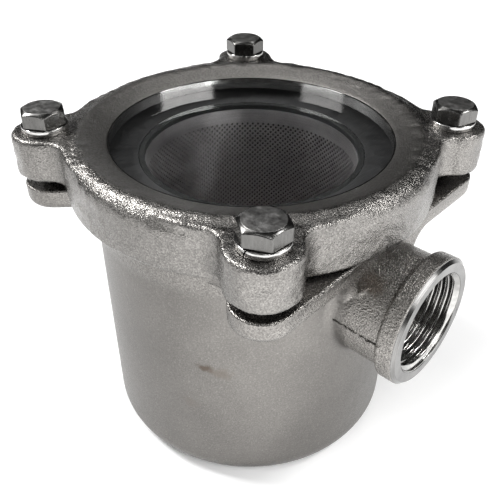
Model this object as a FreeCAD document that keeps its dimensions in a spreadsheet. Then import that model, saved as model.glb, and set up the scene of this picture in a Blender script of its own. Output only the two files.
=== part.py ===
import FreeCAD, Part
import Sketcher
import math
import os

# Sea water strainer, stainless steel, DN25, top sight glass.
# Frame: +Z up, origin at the centre of the cup's underside,
# inlet port along +X, outlet port along -X, bolts at 45 degrees between them.

doc = FreeCAD.newDocument("strainer")
V = FreeCAD.Vector

# ---------------------------------------------------------------- dimensions
TABLE = [
    # cup
    ("cup_or_top", 52.7), ("cup_or_base", 52.3), ("cup_ir_top", 48.7), ("cup_ir_base", 48.3),
    ("cup_floor", 5.0), ("cup_base_round", 8.0), ("cup_inner_round", 6.0),
    ("neck_step_z", 89.4), ("rim_z", 92.2), ("rim_or", 55.6), ("deck_z", 100.0),
    ("deck_bore", 37.3), ("ledge_z", 96.5), ("ledge_r", 36.3), ("deck_under", 93.5), ("deck_haunch", 3.0),
    # flange webs and lugs
    ("flange_top", 94.0), ("flange_thick", 7.6), ("bolt_pcr", 66.1), ("lug_r", 9.4), ("lug_flare", 8.0),
    ("lug_root", 53.5), ("lug_hole_r", 4.05), ("lug_under_round", 3.2), ("lug_top_round", 0.7),
    ("web_gusset", 6.0),
    # ports
    ("port_z", 71.2), ("port_face", 73.5), ("collar_r", 21.2), ("collar_len", 6.7), ("port_neck_r", 19.0),
    ("pipe_r", 16.62), ("pipe_len", 18.0), ("passage_r", 13.5), ("face_chamfer", 1.3), ("sink", 0.25),
    ("neck_round", 3.5), ("spigot_r", 17.5), ("spigot_end", 36.7),
    # clamp ring
    ("ring_bore", 46.0), ("ring_lip_z", 107.0), ("ring_edge_z", 110.0), ("ring_rise", 0.352),
    ("ring_or", 60.5), ("skirt_z", 95.0), ("skirt_ir", 56.3),
    ("ring_step_z", 101.2), ("recess_r", 52.4), ("shoulder", 5.5), ("skirt_round", 0.9), ("bore_chamfer", 0.35),
    ("ear_r", 10.8), ("ear_flare", 7.0), ("ear_tail", 34.0), ("ear_top", 112.0), ("ear_bottom", 97.7), ("ear_in", 56.6),
    ("ear_hole_r", 4.5), ("ear_round", 1.3), ("ear_low_round", 1.2),
    # glass and seals
    ("glass_r", 52.0), ("glass_thick", 6.2), ("glass_chamfer", 0.5),
    ("gasket_ir", 46.7), ("gasket_or", 52.0),
    ("seal_ir", 35.2), ("seal_or", 37.2), ("seal_thick", 2.0), ("seal_round", 0.35),
    # basket
    ("flange_or", 37.0), ("flange_t", 1.5), ("basket_or", 35.9), ("basket_ir", 35.1),
    ("band_low", 93.3), ("basket_low", 8.0), ("base_t", 1.0), ("base_lip", 4.0),
    ("window_r", 14.2),
    # fasteners
    ("bolt_r", 3.95), ("bolt_af", 13.0), ("head_t", 5.3), ("bolt_len", 25.0), ("bolt_bevel", 0.8),
    ("head_top_r", 6.15), ("washer_ir", 4.1), ("washer_or", 7.2), ("washer_t", 2.0), ("washer_gap", 0.7),
]
sheet = doc.addObject("Spreadsheet::Sheet", "dims")
sheet.set("A1", "name")
sheet.set("B1", "value, mm")
for i, (name, val) in enumerate(TABLE):
    row = i + 2
    sheet.set("A%d" % row, name)
    sheet.set("B%d" % row, repr(float(val)))
    sheet.setAlias("B%d" % row, name)
doc.recompute()


class Q(object):
    """A length known both as an expression of the sheet and as a number."""

    def __init__(self, txt, val):
        self.t = txt
        self.v = float(val)

    def _w(self, o):
        return o if isinstance(o, Q) else Q(repr(float(o)), o)

    def __add__(self, o):
        o = self._w(o)
        return Q("(%s + %s)" % (self.t, o.t), self.v + o.v)

    __radd__ = __add__

    def __sub__(self, o):
        o = self._w(o)
        return Q("(%s - %s)" % (self.t, o.t), self.v - o.v)

    def __rsub__(self, o):
        return self._w(o) - self

    def __mul__(self, o):
        o = self._w(o)
        return Q("(%s * %s)" % (self.t, o.t), self.v * o.v)

    __rmul__ = __mul__

    def __truediv__(self, o):
        o = self._w(o)
        return Q("(%s / %s)" % (self.t, o.t), self.v / o.v)

    def __neg__(self):
        return Q("(0 - %s)" % self.t, -self.v)


def qsqrt(a):
    return Q("sqrt(%s)" % a.t, math.sqrt(a.v))


D = {}
for name, val in TABLE:
    D[name] = Q("dims." + name, sheet.get(name))
ZERO = Q("0", 0.0)
C45 = 0.7071067811865476


# ------------------------------------------------------------------- helpers
def new_body(label):
    b = doc.addObject("PartDesign::Body", label)
    b.Label = label
    return b


def origin_item(body, role):
    for f in body.Origin.OriginFeatures:
        if f.Role == role:
            return f
    raise RuntimeError(role)


def new_sketch(body, name, role, offset=None, turn=0.0):
    sk = body.newObject("Sketcher::SketchObject", name)
    sk.AttachmentSupport = [(origin_item(body, role), "")]
    sk.MapMode = "FlatFace"
    if offset is not None or turn:
        off = offset.v if offset is not None else 0.0
        sk.AttachmentOffset = FreeCAD.Placement(V(0, 0, off), FreeCAD.Rotation(V(0, 0, 1), turn))
        if offset is not None:
            sk.setExpression("AttachmentOffset.Base.z", offset.t)
    return sk


def pin(sk, geo, pos, x, y):
    """Fix one point of the sketch at sheet-driven coordinates."""
    if abs(x.v) < 1e-9:
        sk.addConstraint(Sketcher.Constraint("PointOnObject", geo, pos, -2))
    elif x.v > 0:
        c = sk.addConstraint(Sketcher.Constraint("DistanceX", -1, 1, geo, pos, x.v))
        sk.setExpression("Constraints[%d]" % c, x.t)
    else:
        c = sk.addConstraint(Sketcher.Constraint("DistanceX", geo, pos, -1, 1, -x.v))
        sk.setExpression("Constraints[%d]" % c, (-x).t)
    if abs(y.v) < 1e-9:
        sk.addConstraint(Sketcher.Constraint("PointOnObject", geo, pos, -1))
    elif y.v > 0:
        c = sk.addConstraint(Sketcher.Constraint("DistanceY", -1, 1, geo, pos, y.v))
        sk.setExpression("Constraints[%d]" % c, y.t)
    else:
        c = sk.addConstraint(Sketcher.Constraint("DistanceY", geo, pos, -1, 1, -y.v))
        sk.setExpression("Constraints[%d]" % c, (-y).t)


def outline(sk, pts):
    """Closed outline. Each entry is (x, y) or (x, y, radius, cx, cy, ccw): the
    path reaches that vertex by a line, or by an arc of that radius whose centre
    lies at about (cx, cy). A seventh entry places a half circle's centre along
    X, where its radius already follows from its ends."""
    n = len(pts)
    first = len(sk.Geometry)
    ends = []
    for i in range(n):
        a = pts[i - 1]
        b = pts[i]
        pa = V(a[0].v, a[1].v, 0)
        pb = V(b[0].v, b[1].v, 0)
        if len(b) == 2:
            g = sk.addGeometry(Part.LineSegment(pa, pb), False)
            ends.append((g, 1, 2))
        else:
            c = V(b[3], b[4], 0)
            circ = Part.Circle(c, V(0, 0, 1), b[2].v)
            aa = math.atan2(pa.y - c.y, pa.x - c.x)
            ab = math.atan2(pb.y - c.y, pb.x - c.x)
            if b[5]:
                while ab < aa:
                    ab += 2 * math.pi
                g = sk.addGeometry(Part.ArcOfCircle(circ, aa, ab), False)
                ends.append((g, 1, 2))
            else:
                while aa < ab:
                    aa += 2 * math.pi
                g = sk.addGeometry(Part.ArcOfCircle(circ, ab, aa), False)
                ends.append((g, 2, 1))
    for i in range(n):
        g0, s0, e0 = ends[i]
        g1, s1, e1 = ends[(i + 1) % n]
        sk.addConstraint(Sketcher.Constraint("Coincident", g0, e0, g1, s1))
    for i in range(n):
        g, s, e = ends[i]
        pin(sk, g, e, pts[i][0], pts[i][1])
        if len(pts[i]) == 7:
            q = pts[i][6]
            c = sk.addConstraint(Sketcher.Constraint("DistanceX", -1, 1, g, 3, q.v))
            sk.setExpression("Constraints[%d]" % c, q.t)
        elif len(pts[i]) > 2:
            c = sk.addConstraint(Sketcher.Constraint("Radius", g, pts[i][2].v))
            sk.setExpression("Constraints[%d]" % c, pts[i][2].t)
    return first


def circle(sk, x, y, r):
    g = sk.addGeometry(Part.Circle(V(x.v, y.v, 0), V(0, 0, 1), r.v), False)
    pin(sk, g, 3, x, y)
    c = sk.addConstraint(Sketcher.Constraint("Radius", g, r.v))
    sk.setExpression("Constraints[%d]" % c, r.t)
    return g


def axis_line(sk, y, x0, x1):
    g = sk.addGeometry(Part.LineSegment(V(x0, y.v, 0), V(x1, y.v, 0)), True)
    sk.addConstraint(Sketcher.Constraint("Horizontal", g))
    pin(sk, g, 1, Q(repr(float(x0)), x0), y)
    c = sk.addConstraint(Sketcher.Constraint("DistanceX", -1, 1, g, 2, float(x1)))
    return g


def revolve(body, sk, axis="V_Axis", groove=False, name=None):
    kind = "PartDesign::Groove" if groove else "PartDesign::Revolution"
    f = body.newObject(kind, name or ("groove" if groove else "revolve"))
    f.Profile = sk
    f.ReferenceAxis = (sk, [axis])
    f.Angle = 360.0
    sk.Visibility = False
    body.Tip = f
    doc.recompute()
    return f


def pad(body, sk, length, reverse=False, pocket=False, name=None):
    kind = "PartDesign::Pocket" if pocket else "PartDesign::Pad"
    f = body.newObject(kind, name or ("pocket" if pocket else "pad"))
    f.Profile = sk
    f.Type = 0
    f.Length = length.v
    f.setExpression("Length", length.t)
    f.Reversed = reverse
    body.Tip = f
    doc.recompute()
    return f


def polar(body, feats, count, name):
    f = body.newObject("PartDesign::PolarPattern", name)
    f.Originals = feats
    f.Axis = (origin_item(body, "Z_Axis"), [""])
    f.Angle = 360.0
    f.Occurrences = count
    body.Tip = f
    doc.recompute()
    return f


def pick(shape, test):
    """Names of the edges whose midpoint and bounding box pass the test."""
    out = []
    for i, e in enumerate(shape.Edges):
        if e.Length < 1e-6:
            continue
        m = e.valueAt(0.5 * (e.FirstParameter + e.LastParameter))
        if test(e, m, e.BoundBox):
            out.append("Edge%d" % (i + 1))
    return out


def fillet(body, test, radius, name, need=1, chamfer=False):
    base = body.Tip
    names = pick(base.Shape, test)
    if len(names) < need:
        raise RuntimeError("%s: only %d edges" % (name, len(names)))
    f = body.newObject("PartDesign::Chamfer" if chamfer else "PartDesign::Fillet", name)
    f.Base = (base, names)
    if chamfer:
        f.Size = radius.v
        f.setExpression("Size", radius.t)
    else:
        f.Radius = radius.v
        f.setExpression("Radius", radius.t)
    body.Tip = f
    doc.recompute()
    return f


def rad(m):
    return math.hypot(m.x, m.y)


def is_ring(bb, r, z, tol=0.05):
    """Edge lies on the circle of radius r about Z at height z."""
    return abs(bb.ZMin - z) < tol and abs(bb.ZMax - z) < tol and abs(max(abs(bb.XMin), abs(bb.XMax), abs(bb.YMin), abs(bb.YMax)) - r) < tol


d = D
PARTS = []

# ---------------------------------------------------------------- clamp ring
# Four ears first, each with a round nose, flared sides that run out along the
# ring's wall, and rounded rims; the turned section then joins them.
ring = new_body("cover_ring")
PARTS.append(ring)
w = d["ear_r"]
f_ = d["ear_flare"]
ro = d["ring_or"]
rt = d["ear_tail"]
xc = qsqrt((ro + f_) * (ro + f_) - (w + f_) * (w + f_))
cb = xc / (ro + f_)
sb = (w + f_) / (ro + f_)
tx = ro * cb
ty = ro * sb
ox = (ro - rt) * cb
oy = (ro - rt) * sb
sweep = 0.60
cg, sg = math.cos(sweep), math.sin(sweep)
ex = ox + rt * (cb * cg - sb * sg)
ey = oy + rt * (sb * cg + cb * sg)
er = qsqrt(ex * ex + ey * ey)
ix = ex * d["ear_in"] / er
iy = ey * d["ear_in"] / er
sk = new_sketch(ring, "ear_outline", "XY_Plane", d["ear_bottom"], 45.0)
outline(sk, [
    (ix, -iy, d["ear_in"], 0.0, 0.0, False), (ex, -ey),
    (tx, -ty, rt, ox.v, -oy.v, True),
    (xc, -w, f_, xc.v, -(w + f_).v, False),
    (d["bolt_pcr"], -w),
    (d["bolt_pcr"], w, w, d["bolt_pcr"].v, 0.0, True, d["bolt_pcr"]),
    (xc, w),
    (tx, ty, f_, xc.v, (w + f_).v, False),
    (ex, ey, rt, ox.v, oy.v, True),
    (ix, iy)])
e1 = pad(ring, sk, d["ear_top"] - d["ear_bottom"], name="ear_pad")


def rim_at(z, rmin):
    """Rim edges at height z that lie outside radius rmin."""
    def test(e, m, b):
        if abs(m.z - z) > 0.03 or any(abs(p.Z - z) > 0.03 for p in e.Vertexes):
            return False
        return rad(m) > rmin
    return test


e2 = fillet(ring, rim_at(d["ear_top"].v, 57.5), d["ear_round"], "ear_top_round", 5)
e3 = fillet(ring, rim_at(d["ear_bottom"].v, 57.5), d["ear_low_round"], "ear_low_round", 5)
polar(ring, [e1, e2, e3], 4, "ears")

# the turned section: lip, dished face, round shoulder, skirt with two steps
rs = d["shoulder"]
rise = d["ring_rise"]
hyp = qsqrt(rise * rise + 1.0)
sn = rise / hyp
cs = Q("1", 1.0) / hyp
rtan = ro - rs - rs * sn
ztan = d["ring_edge_z"] + (rtan - d["ring_bore"]) * rise
zcen = ztan - rs * cs
ch = d["bore_chamfer"]
kr = d["skirt_round"]
sk = new_sketch(ring, "ring_section", "XZ_Plane")
outline(sk, [
    (d["ring_bore"], d["ring_lip_z"]),
    (d["ring_bore"], d["ring_edge_z"] - ch),
    (d["ring_bore"] + ch, d["ring_edge_z"] + ch * rise),
    (rtan, ztan),
    (ro, zcen, rs, (ro - rs).v, zcen.v, False),
    (ro, d["skirt_z"] + kr),
    (ro - kr, d["skirt_z"], kr, (ro - kr).v, (d["skirt_z"] + kr).v, False),
    (d["skirt_ir"], d["skirt_z"]),
    (d["skirt_ir"], d["ring_step_z"]),
    (d["recess_r"], d["ring_step_z"]),
    (d["recess_r"], d["ring_lip_z"])])
revolve(ring, sk, name="ring_turn")

# clearance holes through the ears
sk = new_sketch(ring, "ear_hole", "XY_Plane", d["ear_top"] + 1.0, 45.0)
circle(sk, d["bolt_pcr"], ZERO, d["ear_hole_r"])
before = ring.Tip.Shape.Volume
p1 = pad(ring, sk, d["ear_top"] - d["ear_bottom"] + 2.0, pocket=True, name="ear_drill")
polar(ring, [p1], 4, "ear_drills")
if not ring.Tip.Shape.Volume < before - 3500:
    raise RuntimeError("ear holes not cut")

# ------------------------------------------------------------------- casting
# Outside of the cup, with the two port necks and their collars.
shell = new_body("cup_outside")
rb = d["cup_base_round"]
sk = new_sketch(shell, "cup_section", "XZ_Plane")
outline(sk, [
    (ZERO, d["deck_z"]), (ZERO, ZERO),
    (d["cup_or_base"] - rb, ZERO),
    (d["cup_or_base"], rb, rb, (d["cup_or_base"] - rb).v, rb.v, True),
    (d["cup_or_top"], d["neck_step_z"]),
    (d["cup_or_top"], d["deck_z"])])
revolve(shell, sk, name="cup_turn")
pz = d["port_z"]
fx = d["port_face"]
fc = d["face_chamfer"]
nr = d["port_neck_r"]
cr = d["collar_r"]
hr = (cr - nr) / 2.0
xs = fx - d["collar_len"]
sk = new_sketch(shell, "port_section", "XZ_Plane")
outline(sk, [
    (fx, pz), (fx, pz + cr - fc), (fx - fc, pz + cr), (xs + hr, pz + cr),
    (xs, pz + cr - hr, hr, (xs + hr).v, (pz + cr - hr).v, True),
    (xs - hr, pz + nr, hr, (xs - hr).v, (pz + nr + hr).v, False),
    (hr - xs, pz + nr),
    (-xs, pz + cr - hr, hr, (hr - xs).v, (pz + nr + hr).v, False),
    (-(xs + hr), pz + cr, hr, -(xs + hr).v, (pz + cr - hr).v, True),
    (fc - fx, pz + cr), (-fx, pz + cr - fc), (-fx, pz)])
axis_line(sk, pz, -60.0, 60.0)
revolve(shell, sk, axis="Axis0", name="port_turn")


def neck_foot(e, m, b):
    r = math.hypot(m.y, m.z - pz.v)
    return abs(r - nr.v) < 0.02 and 45.0 < abs(m.x) < 60.0 and e.Length > 5.0


fillet(shell, neck_foot, d["neck_round"], "neck_blend", 2)

# Flange: at each port two lugs joined by a straight-edged web, gusseted down
# on to the neck, then the turned rim below the deck.
flange = new_body("flange_outside")
lr = d["lug_r"]
lf = d["lug_flare"]
lp = d["bolt_pcr"]
rr = d["lug_root"]
gx = qsqrt((rr + lf) * (rr + lf) - (lr + lf) * (lr + lf))


def turned(x, y, sgn):
    """Lug frame (radial, across) to the sketch, for the lug at sgn * 45 degrees."""
    return (x * C45 - y * (C45 * sgn), x * (C45 * sgn) + y * C45)


qx, qy = gx * rr / (rr + lf), (lr + lf) * rr / (rr + lf)
lo = -1
hi = 1
cxl = lp * C45
a0 = turned(qx, -qy, lo)
a1 = turned(gx, -lr, lo)
ac = turned(gx, -(lr + lf), lo)
a2 = turned(lp, -lr, lo)
a3 = (cxl + lr, -cxl)
b3 = (cxl + lr, cxl)
b2 = turned(lp, lr, hi)
b1 = turned(gx, lr, hi)
bc = turned(gx, lr + lf, hi)
b0 = turned(qx, qy, hi)
fz = d["flange_top"] - d["flange_thick"]
sk = new_sketch(flange, "flange_outline", "XY_Plane", fz)
outline(sk, [
    (a0[0], a0[1]),
    (a1[0], a1[1], lf, ac[0].v, ac[1].v, False),
    (a2[0], a2[1]),
    (a3[0], a3[1], lr, cxl.v, -cxl.v, True),
    (b3[0], b3[1]),
    (b2[0], b2[1], lr, cxl.v, cxl.v, True),
    (b1[0], b1[1]),
    (b0[0], b0[1], lf, bc[0].v, bc[1].v, False)])
g1 = pad(flange, sk, d["flange_thick"], name="flange_pad")

gr = d["web_gusset"]
gy = qsqrt((nr + gr) * (nr + gr) - (fz - gr - pz) * (fz - gr - pz))
gty = gy * nr / (nr + gr)
gtz = pz + (fz - gr - pz) * nr / (nr + gr)
sk = new_sketch(flange, "gusset_outline", "YZ_Plane", d["cup_ir_top"])
outline(sk, [
    (-gty, gtz), (gty, gtz),
    (gy, fz, gr, gy.v, (fz - gr).v, False),
    (gy, fz + 2.0), (-gy, fz + 2.0), (-gy, fz),
    (-gty, gtz, gr, -gy.v, (fz - gr).v, False)][1:])
g2 = pad(flange, sk, cxl + lr - d["cup_ir_top"], name="gusset_pad")


def web_low(e, m, b):
    """Lower outer rim of lugs, web and gussets."""
    if m.z > fz.v + 0.05 or m.z < gtz.v + 0.05:
        return False
    if e.Length < 0.5:
        return False
    if abs(m.z - fz.v) < 0.05:
        return rad(m) > 55.5 and (abs(m.x - (cxl + lr).v) < 0.02 or abs(m.y) > cxl.v)
    return abs(m.x - (cxl + lr).v) < 0.02 and abs(b.XMax - b.XMin) < 0.1


g3 = fillet(flange, web_low, d["lug_under_round"], "lug_under_rounds", 8)
g4 = fillet(flange, rim_at(d["flange_top"].v, 55.9), d["lug_top_round"], "lug_top_rounds", 5)
polar(flange, [g1, g2, g3, g4], 2, "flanges")
sk = new_sketch(flange, "rim_section", "XZ_Plane")
outline(sk, [
    (d["cup_ir_top"], d["deck_z"]), (d["cup_ir_top"], d["neck_step_z"]),
    (d["cup_or_top"], d["neck_step_z"]), (d["rim_or"], d["rim_z"]),
    (d["rim_or"], d["deck_z"])])
revolve(flange, sk, name="rim_turn")

# Hollow of the cup: floor, wall, haunch under the deck, ledge and seal rebate.
hollow = new_body("cup_hollow")
ri = d["cup_inner_round"]
hz = d["deck_under"] - d["deck_haunch"]
sk = new_sketch(hollow, "hollow_section", "XZ_Plane")
outline(sk, [
    (ZERO, d["cup_floor"]), (d["cup_ir_base"] - ri, d["cup_floor"]),
    (d["cup_ir_base"], d["cup_floor"] + ri, ri, (d["cup_ir_base"] - ri).v, (d["cup_floor"] + ri).v, True),
    (d["cup_ir_top"], hz), (d["cup_ir_top"] - d["deck_haunch"], d["deck_under"]),
    (d["ledge_r"], d["deck_under"]), (d["ledge_r"], d["ledge_z"]),
    (d["deck_bore"], d["ledge_z"]), (d["deck_bore"], d["deck_z"] + 1.0),
    (ZERO, d["deck_z"] + 1.0)])
revolve(hollow, sk, name="hollow_turn")

# Short inner spout at the inlet that reaches the basket's window.
spout = new_body("inlet_spout")
sk = new_sketch(spout, "spout_outline", "YZ_Plane", d["spigot_end"] - 8.0)
circle(sk, ZERO, pz, d["spigot_r"])
pad(spout, sk, d["cup_ir_top"] - d["spigot_end"] + 10.0, name="spout_pad")
sk = new_sketch(spout, "spout_trim", "XY_Plane", pz + d["spigot_r"] + 1.0)
circle(sk, ZERO, ZERO, d["spigot_end"])
before = spout.Tip.Shape.Volume
pad(spout, sk, d["spigot_r"] * 2.0 + 2.0, pocket=True, name="spout_pocket")
if not spout.Tip.Shape.Volume < before - 500:
    raise RuntimeError("spout end not trimmed")

# Waterway: pipe thread bores at both faces, then the plain passages.
water = new_body("waterway")
pr = d["pipe_r"]
pl = d["pipe_len"]
pp = d["passage_r"]
ks = d["sink"]
xi = fx - pl
sk = new_sketch(water, "inlet_section", "XZ_Plane")
outline(sk, [
    (fx + 1.0, pz), (fx + 1.0, pz + pr + ks + 1.0), (fx - ks, pz + pr), (xi, pz + pr),
    (xi - (pr - pp), pz + pp), (d["spigot_end"] - 8.0, pz + pp), (d["spigot_end"] - 8.0, pz)])
axis_line(sk, pz, 20.0, 60.0)
revolve(water, sk, axis="Axis0", name="inlet_turn")
sk = new_sketch(water, "outlet_section", "XZ_Plane")
xo = d["cup_ir_base"] - 5.0
outline(sk, [
    (-(fx + 1.0), pz), (-(fx + 1.0), pz + pr + ks + 1.0), (ks - fx, pz + pr), (-xi, pz + pr),
    ((pr - pp) - xi, pz + pp), (-xo, pz + pp), (-xo, pz)])
axis_line(sk, pz, -60.0, -20.0)
revolve(water, sk, axis="Axis0", name="outlet_turn")
sk = new_sketch(water, "stud_holes", "XY_Plane", fz - 1.0)
cc = d["bolt_pcr"] * C45
for sx in (1.0, -1.0):
    for sy in (1.0, -1.0):
        circle(sk, cc * sx, cc * sy, d["lug_hole_r"])
pad(water, sk, d["flange_thick"] + 2.0, name="stud_drill")


def boolean(kind, label, base, tool):
    f = doc.addObject(kind, label)
    f.Base = base
    f.Tool = tool
    if hasattr(f, "Refine"):
        f.Refine = True
    f.Label = label
    doc.recompute()
    return f


blank = boolean("Part::Fuse", "casting_outside", shell, flange)
cored = boolean("Part::Cut", "casting_cored", blank, hollow)
spouted = boolean("Part::Fuse", "casting_spouted", cored, spout)
casting = boolean("Part::Cut", "body", spouted, water)
PARTS.append(casting)

# --------------------------------------------------------------------- glass
def ring_piece(label, ri_, ro_, z0, z1, ch_=None, rnd=None):
    """Flat ring or disc turned about Z, with both outer rims broken."""
    b = new_body(label)
    sk = new_sketch(b, label + "_section", "XZ_Plane")
    if ch_ is not None:
        pts = [(ri_, z0), (ro_ - ch_, z0), (ro_, z0 + ch_), (ro_, z1 - ch_), (ro_ - ch_, z1), (ri_, z1)]
    elif rnd is not None:
        pts = [(ri_, z0), (ro_ - rnd, z0),
               (ro_, z0 + rnd, rnd, (ro_ - rnd).v, (z0 + rnd).v, True), (ro_, z1 - rnd),
               (ro_ - rnd, z1, rnd, (ro_ - rnd).v, (z1 - rnd).v, True),
               (ri_ + rnd, z1), (ri_, z1 - rnd, rnd, (ri_ + rnd).v, (z1 - rnd).v, True)]
    else:
        pts = [(ri_, z0), (ro_, z0), (ro_, z1), (ri_, z1)]
    outline(sk, pts)
    revolve(b, sk, name=label + "_turn")
    PARTS.append(b)
    return b


gz = d["deck_z"]
ring_piece("sight_glass", ZERO, d["glass_r"], gz, gz + d["glass_thick"], ch_=d["glass_chamfer"])
ring_piece("glass_gasket", d["gasket_ir"], d["gasket_or"], gz + d["glass_thick"], d["ring_lip_z"])
ring_piece("basket_seal", d["seal_ir"], d["seal_or"], gz - d["seal_thick"], gz, rnd=d["seal_round"])

# -------------------------------------------------------------------- basket
brim = new_body("basket_rim")
PARTS.append(brim)
bo, bi = d["basket_or"], d["basket_ir"]
zt = d["ledge_z"] + d["flange_t"]
sk = new_sketch(brim, "brim_section", "XZ_Plane")
outline(sk, [(bi, d["band_low"]), (bo, d["band_low"]), (bo, d["ledge_z"]), (d["flange_or"], d["ledge_z"]),
             (d["flange_or"], zt), (bi, zt)])
revolve(brim, sk, name="brim_turn")

screen = new_body("basket_screen")
PARTS.append(screen)
sk = new_sketch(screen, "screen_section", "XZ_Plane")
outline(sk, [(bi, d["basket_low"]), (bo, d["basket_low"]), (bo, d["band_low"]), (bi, d["band_low"])])
revolve(screen, sk, name="screen_turn")
sk = new_sketch(screen, "window_outline", "YZ_Plane", bo + 2.0)
circle(sk, ZERO, pz, d["window_r"])
before = screen.Tip.Shape.Volume
pad(screen, sk, Q("20", 20.0), pocket=True, name="window_pocket")
if not screen.Tip.Shape.Volume < before - 300:
    raise RuntimeError("basket window not cut")

base = new_body("basket_floor")
PARTS.append(base)
bt = d["base_t"]
bl = d["basket_low"]
sk = new_sketch(base, "floor_section", "XZ_Plane")
outline(sk, [(ZERO, bl), (bi, bl), (bi, bl + d["base_lip"]), (bi - bt, bl + d["base_lip"]),
             (bi - bt, bl + bt), (ZERO, bl + bt)])
revolve(base, sk, name="floor_turn")

# ----------------------------------------------------------------- fasteners
BOLTS = [(1, -45.0, -33.6), (2, 45.0, -48.0), (3, 135.0, -20.0), (4, -135.0, -28.8)]
WASHERS = [(1, -45.0, -88.0), (2, 45.0, 60.0), (3, 135.0, 150.0), (4, -135.0, 200.0)]
az = d["ear_top"]
for k, place, turn in WASHERS:
    b = new_body("spring_washer_%d" % k)
    PARTS.append(b)
    wi, wo, wt, wg = d["washer_ir"], d["washer_or"], d["washer_t"], d["washer_gap"]
    sk = new_sketch(b, "washer_section_%d" % k, "XZ_Plane")
    outline(sk, [(wi, ZERO), (wo, ZERO), (wo, wt), (wi, wt)])
    revolve(b, sk, name="washer_turn_%d" % k)
    # slanted split through one side
    sk = new_sketch(b, "split_outline_%d" % k, "YZ_Plane", wo + 1.0)
    outline(sk, [(-(wg / 2.0) - 0.7, -0.5 + ZERO), ((wg / 2.0) - 0.7, -0.5 + ZERO),
                 ((wg / 2.0) + 0.7, wt + 0.5), (-(wg / 2.0) + 0.7, wt + 0.5)])
    before = b.Tip.Shape.Volume
    pad(b, sk, wo + 1.0 - wi * 0.5, pocket=True, name="split_pocket_%d" % k)
    if not b.Tip.Shape.Volume < before - 1.0:
        raise RuntimeError("washer split not cut")
    a = math.radians(place)
    b.Placement = FreeCAD.Placement(
        V(d["bolt_pcr"].v * math.cos(a), d["bolt_pcr"].v * math.sin(a), az.v), FreeCAD.Rotation(V(0, 0, 1), turn))

for k, place, turn in BOLTS:
    b = new_body("hex_bolt_%d" % k)
    PARTS.append(b)
    br, bh = d["bolt_r"], d["head_t"]
    hx = d["bolt_af"] / 2.0
    hc = hx / math.cos(math.radians(30.0))
    sk = new_sketch(b, "hex_outline_%d" % k, "XY_Plane")
    hexa = []
    for n in range(6):
        t = math.radians(60.0 * n)
        hexa.append((hc * round(math.cos(t), 12), hc * round(math.sin(t), 12)))
    outline(sk, hexa)
    pad(b, sk, bh, name="head_pad_%d" % k)
    ht = d["head_top_r"]
    sk = new_sketch(b, "head_bevel_%d" % k, "XZ_Plane")
    outline(sk, [(ht, bh), (ht + 3.0, bh - 3.0 * math.tan(math.radians(30.0))), (ht + 3.0, bh + 1.0), (ht, bh + 1.0)])
    before = b.Tip.Shape.Volume
    revolve(b, sk, groove=True, name="bevel_groove_%d" % k)
    if not b.Tip.Shape.Volume < before - 1.0:
        raise RuntimeError("head bevel not cut")
    be = d["bolt_bevel"]
    bz = d["bolt_len"]
    sk = new_sketch(b, "shank_section_%d" % k, "XZ_Plane")
    outline(sk, [(ZERO, Q("1", 1.0)), (ZERO, -bz), (br - be, -bz), (br, be - bz), (br, Q("1", 1.0))])
    revolve(b, sk, name="shank_turn_%d" % k)
    a = math.radians(place)
    b.Placement = FreeCAD.Placement(
        V(d["bolt_pcr"].v * math.cos(a), d["bolt_pcr"].v * math.sin(a), (az + d["washer_t"]).v),
        FreeCAD.Rotation(V(0, 0, 1), turn))

# ------------------------------------------------------- checks and the files
doc.recompute()
for ob in doc.Objects:
    st = [s for s in ob.State if s in ("Invalid", "Error")]
    if st:
        raise RuntimeError("%s (%s) is %s" % (ob.Name, ob.Label, st))
for p in PARTS:
    s = p.Shape
    if s is None or s.isNull() or not s.isValid():
        raise RuntimeError("bad shape: " + p.Label)
    if len(s.Solids) != 1:
        raise RuntimeError("%s has %d solids" % (p.Label, len(s.Solids)))
os.makedirs("parts", exist_ok=True)
for p in PARTS:
    p.Shape.exportStep(os.path.join("parts", p.Label + ".step"))
    b = p.Shape.BoundBox
    print("%-18s vol %10.1f  x %7.2f %7.2f  y %7.2f %7.2f  z %7.2f %7.2f  faces %d" % (
        p.Label, p.Shape.Volume, b.XMin, b.XMax, b.YMin, b.YMax, b.ZMin, b.ZMax, len(p.Shape.Faces)))
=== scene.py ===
import bpy
import bmesh
import math
import numpy as np
from mathutils import Vector, Matrix


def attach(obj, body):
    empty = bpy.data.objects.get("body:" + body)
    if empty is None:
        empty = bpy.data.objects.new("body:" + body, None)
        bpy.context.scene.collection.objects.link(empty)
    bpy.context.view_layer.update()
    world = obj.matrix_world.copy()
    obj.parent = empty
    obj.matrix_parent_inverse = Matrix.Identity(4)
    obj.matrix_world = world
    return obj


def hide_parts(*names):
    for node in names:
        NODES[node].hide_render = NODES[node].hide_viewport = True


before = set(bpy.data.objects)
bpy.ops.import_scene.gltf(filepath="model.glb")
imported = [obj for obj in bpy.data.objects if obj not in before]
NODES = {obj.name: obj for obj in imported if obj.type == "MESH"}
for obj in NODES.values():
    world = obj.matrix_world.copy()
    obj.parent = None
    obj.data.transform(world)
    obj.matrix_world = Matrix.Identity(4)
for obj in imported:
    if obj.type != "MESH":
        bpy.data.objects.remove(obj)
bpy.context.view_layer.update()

scene = bpy.context.scene
MM = 0.001


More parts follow.
